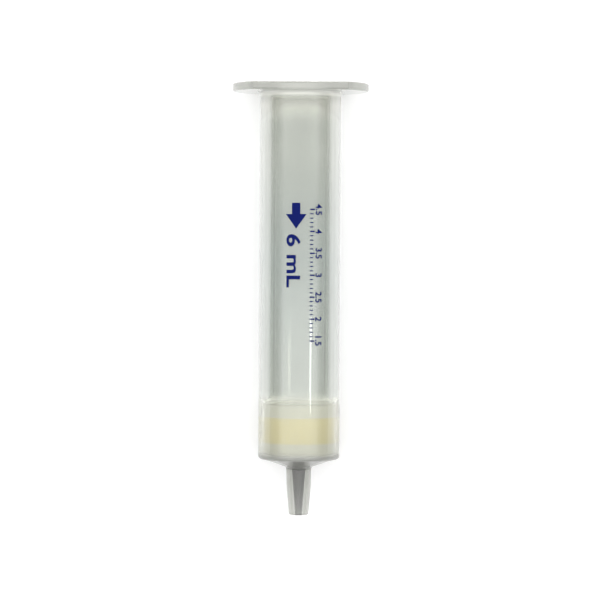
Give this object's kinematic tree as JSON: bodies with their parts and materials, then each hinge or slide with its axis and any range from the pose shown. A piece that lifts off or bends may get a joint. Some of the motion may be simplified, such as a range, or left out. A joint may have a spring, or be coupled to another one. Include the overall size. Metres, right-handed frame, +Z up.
{
  "type": "spe cartridge",
  "caption": "Syringe-shaped extraction column: a translucent flanged tube with a Luer tip holds a packed sorbent bed between two porous frits.",
  "frame": {"origin": "centre of the bounding box's underside, on the table that the cartridge lies on", "axes": "+Y runs along the cartridge from the tip towards the mouth, to within its resting tilt of 1.4 degrees; +Z points up from the table, towards the printed side; +X runs across the flange"},
  "size_m": [0.0248, 0.0782, 0.018],
  "materials": {
    "barrel": "natural polypropylene, moulded, milky and glossy",
    "frit": "sintered polyethylene, porous and matt",
    "sorbent": "packed cream powder of fine beads",
    "print": "dark blue pad-printed ink"
  },
  "bodies": {
    "root": {"barrel": "barrel", "lower_frit": "frit", "sorbent_bed": "sorbent", "upper_frit": "frit"}
  },
  "joints": []
}
